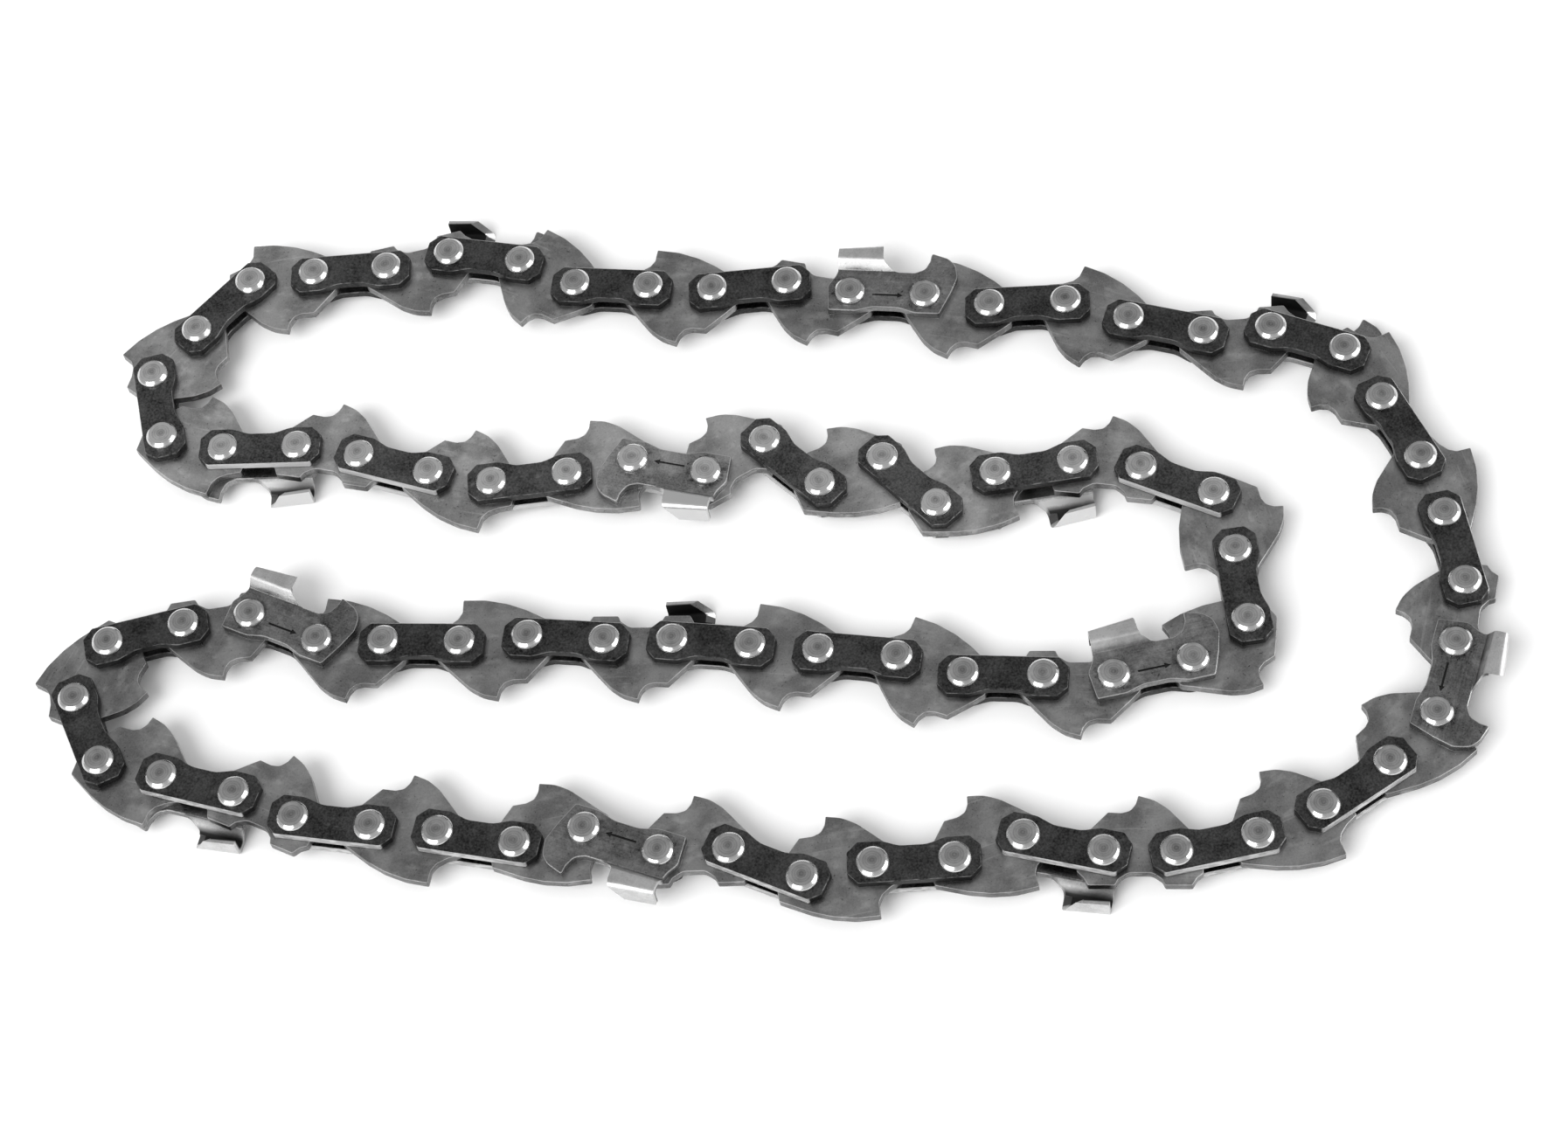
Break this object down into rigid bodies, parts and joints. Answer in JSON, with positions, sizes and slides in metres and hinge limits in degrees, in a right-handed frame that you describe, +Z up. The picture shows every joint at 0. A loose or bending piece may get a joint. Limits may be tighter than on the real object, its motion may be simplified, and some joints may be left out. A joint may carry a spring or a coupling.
{
  "type": "chainsaw chain loop",
  "caption": "Closed loop of low-profile saw chain lying on its side in a loose curl: drive links, tie straps and alternating left and right chisel cutters on rivets.",
  "frame": {"origin": "on the surface that the loop lies on, below the middle of its bounding box", "axes": "+X along the longer side of the curl, towards the side where the chain runs round in one wide bend; +Z up, along the rivets"},
  "size_m": [0.1848, 0.1008, 0.0066],
  "materials": {
    "link_steel": "tumbled grey steel",
    "strap_steel": "dark blued steel",
    "cutter_steel": "satin hard chrome",
    "rivet_steel": "spun bright steel"
  },
  "bodies": {
    "pitch_01": {"link_01": "link_steel"},
    "pitch_02": {"link_02": "link_steel"},
    "pitch_03": {"link_03": "link_steel"},
    "pitch_04": {"left_cutter_04": "cutter_steel", "link_04": "link_steel"},
    "pitch_05": {"link_05": "link_steel"},
    "pitch_06": {"link_06": "link_steel"},
    "pitch_07": {"link_07": "link_steel", "right_cutter_07": "cutter_steel"},
    "pitch_08": {"link_08": "link_steel"},
    "pitch_09": {"link_09": "link_steel"},
    "pitch_10": {"left_cutter_10": "cutter_steel", "link_10": "link_steel"},
    "pitch_11": {"link_11": "link_steel"},
    "pitch_12": {"link_12": "link_steel"},
    "pitch_13": {"link_13": "link_steel", "right_cutter_13": "cutter_steel"},
    "pitch_14": {"link_14": "link_steel"},
    "pitch_15": {"link_15": "link_steel"},
    "pitch_16": {"left_cutter_16": "cutter_steel", "link_16": "link_steel"},
    "pitch_17": {"link_17": "link_steel"},
    "pitch_18": {"link_18": "link_steel"},
    "pitch_19": {"link_19": "link_steel", "right_cutter_19": "cutter_steel"},
    "pitch_20": {"link_20": "link_steel"},
    "pitch_21": {"link_21": "link_steel"},
    "pitch_22": {"left_cutter_22": "cutter_steel", "link_22": "link_steel"},
    "pitch_23": {"link_23": "link_steel"},
    "pitch_24": {"link_24": "link_steel"},
    "pitch_25": {"link_25": "link_steel", "right_cutter_25": "cutter_steel"},
    "pitch_26": {"link_26": "link_steel"},
    "pitch_27": {"link_27": "link_steel"},
    "pitch_28": {"left_cutter_28": "cutter_steel", "link_28": "link_steel"},
    "pitch_29": {"link_29": "link_steel"},
    "pitch_30": {"link_30": "link_steel"},
    "pitch_31": {"link_31": "link_steel", "right_cutter_31": "cutter_steel"},
    "pitch_32": {"link_32": "link_steel"},
    "pitch_33": {"link_33": "link_steel"},
    "pitch_34": {"left_cutter_34": "cutter_steel", "link_34": "link_steel"},
    "pitch_35": {"link_35": "link_steel"},
    "pitch_36": {"link_36": "link_steel"},
    "pitch_37": {"link_37": "link_steel", "right_cutter_37": "cutter_steel"},
    "pitch_38": {"link_38": "link_steel"},
    "pitch_39": {"link_39": "link_steel"},
    "pitch_40": {"left_cutter_40": "cutter_steel", "link_40": "link_steel"}
  },
  "joints": [
    {"name": "pivot_02", "type": "hinge", "parent": "pitch_01", "child": "pitch_02", "pos_m": [-0.0797, 0.03135, 0.00329], "axis": [0, 0, 1], "range_deg": [-0.4838, 0.4838]},
    {"name": "pivot_03", "type": "hinge", "parent": "pitch_02", "child": "pitch_03", "pos_m": [-0.0651, 0.04065, 0.00329], "axis": [0, 0, 1], "range_deg": [-4, 4]},
    {"name": "pivot_04", "type": "hinge", "parent": "pitch_03", "child": "pitch_04", "pos_m": [-0.04695, 0.04407, 0.00329], "axis": [0, 0, 1], "range_deg": [-1.24, 1.24]},
    {"name": "pivot_05", "type": "hinge", "parent": "pitch_04", "child": "pitch_05", "pos_m": [-0.02923, 0.03934, 0.00329], "axis": [0, 0, 1], "range_deg": [-2.25, 2.25]},
    {"name": "pivot_06", "type": "hinge", "parent": "pitch_05", "child": "pitch_06", "pos_m": [-0.0107, 0.0387, 0.00329], "axis": [0, 0, 1], "range_deg": [-3.89, 3.89]},
    {"name": "pivot_07", "type": "hinge", "parent": "pitch_06", "child": "pitch_07", "pos_m": [0.00763, 0.0384, 0.00329], "axis": [0, 0, 1], "range_deg": [-3.15, 3.15]},
    {"name": "pivot_08", "type": "hinge", "parent": "pitch_07", "child": "pitch_08", "pos_m": [0.02606, 0.03671, 0.00329], "axis": [0, 0, 1], "range_deg": [-0.4838, 0.4838]},
    {"name": "pivot_09", "type": "hinge", "parent": "pitch_08", "child": "pitch_09", "pos_m": [0.0442, 0.03487, 0.00329], "axis": [0, 0, 1], "range_deg": [-1.52, 1.52]},
    {"name": "pivot_10", "type": "hinge", "parent": "pitch_09", "child": "pitch_10", "pos_m": [0.06249, 0.03357, 0.00329], "axis": [0, 0, 1], "range_deg": [-2.21, 2.21]},
    {"name": "pivot_11", "type": "hinge", "parent": "pitch_10", "child": "pitch_11", "pos_m": [0.07661, 0.02326, 0.00329], "axis": [0, 0, 1], "range_deg": [-5.66, 5.66]},
    {"name": "pivot_12", "type": "hinge", "parent": "pitch_11", "child": "pitch_12", "pos_m": [0.08451, 0.00657, 0.00329], "axis": [0, 0, 1], "range_deg": [-8, 8]},
    {"name": "pivot_13", "type": "hinge", "parent": "pitch_12", "child": "pitch_13", "pos_m": [0.08602, -0.01157, 0.00329], "axis": [0, 0, 1], "range_deg": [-1.2, 1.2]},
    {"name": "pivot_14", "type": "hinge", "parent": "pitch_13", "child": "pitch_14", "pos_m": [0.07835, -0.02793, 0.00329], "axis": [0, 0, 1], "range_deg": [-6.06, 6.06]},
    {"name": "pivot_15", "type": "hinge", "parent": "pitch_14", "child": "pitch_15", "pos_m": [0.06292, -0.03808, 0.00329], "axis": [0, 0, 1], "range_deg": [-2.33, 2.33]},
    {"name": "pivot_16", "type": "hinge", "parent": "pitch_15", "child": "pitch_16", "pos_m": [0.04472, -0.04095, 0.00329], "axis": [0, 0, 1], "range_deg": [-6.07, 6.07]},
    {"name": "pivot_17", "type": "hinge", "parent": "pitch_16", "child": "pitch_17", "pos_m": [0.02696, -0.04246, 0.00329], "axis": [0, 0, 1], "range_deg": [-1.87, 1.87]},
    {"name": "pivot_18", "type": "hinge", "parent": "pitch_17", "child": "pitch_18", "pos_m": [0.00873, -0.04559, 0.00329], "axis": [0, 0, 1], "range_deg": [-3.51, 3.51]},
    {"name": "pivot_19", "type": "hinge", "parent": "pitch_18", "child": "pitch_19", "pos_m": [-0.00919, -0.0428, 0.00329], "axis": [0, 0, 1], "range_deg": [-1.02, 1.02]},
    {"name": "pivot_20", "type": "hinge", "parent": "pitch_19", "child": "pitch_20", "pos_m": [-0.02705, -0.04231, 0.00329], "axis": [0, 0, 1], "range_deg": [-3.47, 3.47]},
    {"name": "pivot_21", "type": "hinge", "parent": "pitch_20", "child": "pitch_21", "pos_m": [-0.0455, -0.04065, 0.00329], "axis": [0, 0, 1], "range_deg": [-5.07, 5.07]},
    {"name": "pivot_22", "type": "hinge", "parent": "pitch_21", "child": "pitch_22", "pos_m": [-0.06343, -0.03669, 0.00329], "axis": [0, 0, 1], "range_deg": [-1.15, 1.15]},
    {"name": "pivot_23", "type": "hinge", "parent": "pitch_22", "child": "pitch_23", "pos_m": [-0.08157, -0.03284, 0.00329], "axis": [0, 0, 1], "range_deg": [-6, 6]},
    {"name": "pivot_24", "type": "hinge", "parent": "pitch_23", "child": "pitch_24", "pos_m": [-0.08341, -0.01606, 0.00329], "axis": [0, 0, 1], "range_deg": [-1.32, 1.32]},
    {"name": "pivot_25", "type": "hinge", "parent": "pitch_24", "child": "pitch_25", "pos_m": [-0.06547, -0.01152, 0.00329], "axis": [0, 0, 1], "range_deg": [-2.48, 2.48]},
    {"name": "pivot_26", "type": "hinge", "parent": "pitch_25", "child": "pitch_26", "pos_m": [-0.04752, -0.0149, 0.00329], "axis": [0, 0, 1], "range_deg": [-2.64, 2.64]},
    {"name": "pivot_27", "type": "hinge", "parent": "pitch_26", "child": "pitch_27", "pos_m": [-0.02905, -0.01368, 0.00329], "axis": [0, 0, 1], "range_deg": [-1.51, 1.51]},
    {"name": "pivot_28", "type": "hinge", "parent": "pitch_27", "child": "pitch_28", "pos_m": [-0.01052, -0.01372, 0.00329], "axis": [0, 0, 1], "range_deg": [-4, 4]},
    {"name": "pivot_29", "type": "hinge", "parent": "pitch_28", "child": "pitch_29", "pos_m": [0.00799, -0.01469, 0.00329], "axis": [0, 0, 1], "range_deg": [-3.83, 3.83]},
    {"name": "pivot_30", "type": "hinge", "parent": "pitch_29", "child": "pitch_30", "pos_m": [0.02625, -0.01747, 0.00329], "axis": [0, 0, 1], "range_deg": [-0.419, 0.419]},
    {"name": "pivot_31", "type": "hinge", "parent": "pitch_30", "child": "pitch_31", "pos_m": [0.04479, -0.01717, 0.00329], "axis": [0, 0, 1], "range_deg": [-3.79, 3.79]},
    {"name": "pivot_32", "type": "hinge", "parent": "pitch_31", "child": "pitch_32", "pos_m": [0.06087, -0.00894, 0.00329], "axis": [0, 0, 1], "range_deg": [-1.16, 1.16]},
    {"name": "pivot_33", "type": "hinge", "parent": "pitch_32", "child": "pitch_33", "pos_m": [0.05602, 0.0089, 0.00329], "axis": [0, 0, 1], "range_deg": [-2.85, 2.85]},
    {"name": "pivot_34", "type": "hinge", "parent": "pitch_33", "child": "pitch_34", "pos_m": [0.03818, 0.0132, 0.00329], "axis": [0, 0, 1], "range_deg": [-0.3758, 0.3758]},
    {"name": "pivot_35", "type": "hinge", "parent": "pitch_34", "child": "pitch_35", "pos_m": [0.02121, 0.0066, 0.00329], "axis": [0, 0, 1], "range_deg": [-0.97, 0.97]},
    {"name": "pivot_36", "type": "hinge", "parent": "pitch_35", "child": "pitch_36", "pos_m": [0.00615, 0.0093, 0.00329], "axis": [0, 0, 1], "range_deg": [-3.49, 3.49]},
    {"name": "pivot_37", "type": "hinge", "parent": "pitch_36", "child": "pitch_37", "pos_m": [-0.0087, 0.0107, 0.00329], "axis": [0, 0, 1], "range_deg": [-4, 4]},
    {"name": "pivot_38", "type": "hinge", "parent": "pitch_37", "child": "pitch_38", "pos_m": [-0.0268, 0.01019, 0.00329], "axis": [0, 0, 1], "range_deg": [-0.92, 0.92]},
    {"name": "pivot_39", "type": "hinge", "parent": "pitch_38", "child": "pitch_39", "pos_m": [-0.04511, 0.00999, 0.00329], "axis": [0, 0, 1], "range_deg": [-2.85, 2.85]},
    {"name": "pivot_40", "type": "hinge", "parent": "pitch_39", "child": "pitch_40", "pos_m": [-0.06327, 0.01359, 0.00329], "axis": [0, 0, 1], "range_deg": [-1.68, 1.68]}
  ],
  "couplings": [
    {"joint": "pivot_02", "follows": "pivot_03", "ratio": -0.112},
    {"joint": "pivot_04", "follows": "pivot_03", "ratio": 0.287},
    {"joint": "pivot_05", "follows": "pivot_03", "ratio": -0.521},
    {"joint": "pivot_06", "follows": "pivot_03", "ratio": -0.9},
    {"joint": "pivot_07", "follows": "pivot_03", "ratio": -0.728},
    {"joint": "pivot_08", "follows": "pivot_03", "ratio": 0.112},
    {"joint": "pivot_09", "follows": "pivot_03", "ratio": 0.351},
    {"joint": "pivot_10", "follows": "pivot_03", "ratio": 0.511},
    {"joint": "pivot_11", "follows": "pivot_12", "ratio": -0.655},
    {"joint": "pivot_13", "follows": "pivot_12", "ratio": 0.139},
    {"joint": "pivot_14", "follows": "pivot_12", "ratio": -0.701},
    {"joint": "pivot_15", "follows": "pivot_12", "ratio": -0.27},
    {"joint": "pivot_16", "follows": "pivot_12", "ratio": 0.703},
    {"joint": "pivot_17", "follows": "pivot_12", "ratio": -0.216},
    {"joint": "pivot_18", "follows": "pivot_23", "ratio": 0.541},
    {"joint": "pivot_19", "follows": "pivot_23", "ratio": 0.158},
    {"joint": "pivot_20", "follows": "pivot_23", "ratio": -0.535},
    {"joint": "pivot_21", "follows": "pivot_23", "ratio": -0.782},
    {"joint": "pivot_22", "follows": "pivot_23", "ratio": -0.178},
    {"joint": "pivot_24", "follows": "pivot_23", "ratio": -0.203},
    {"joint": "pivot_25", "follows": "pivot_28", "ratio": -0.575},
    {"joint": "pivot_26", "follows": "pivot_28", "ratio": -0.612},
    {"joint": "pivot_27", "follows": "pivot_28", "ratio": 0.35},
    {"joint": "pivot_29", "follows": "pivot_28", "ratio": 0.886},
    {"joint": "pivot_30", "follows": "pivot_28", "ratio": 0.097},
    {"joint": "pivot_31", "follows": "pivot_28", "ratio": -0.878},
    {"joint": "pivot_32", "follows": "pivot_28", "ratio": -0.268},
    {"joint": "pivot_33", "follows": "pivot_37", "ratio": -0.66},
    {"joint": "pivot_34", "follows": "pivot_37", "ratio": -0.087},
    {"joint": "pivot_35", "follows": "pivot_37", "ratio": -0.224},
    {"joint": "pivot_36", "follows": "pivot_37", "ratio": 0.809},
    {"joint": "pivot_38", "follows": "pivot_37", "ratio": 0.212},
    {"joint": "pivot_39", "follows": "pivot_37", "ratio": -0.66},
    {"joint": "pivot_40", "follows": "pivot_37", "ratio": -0.39}
  ]
}
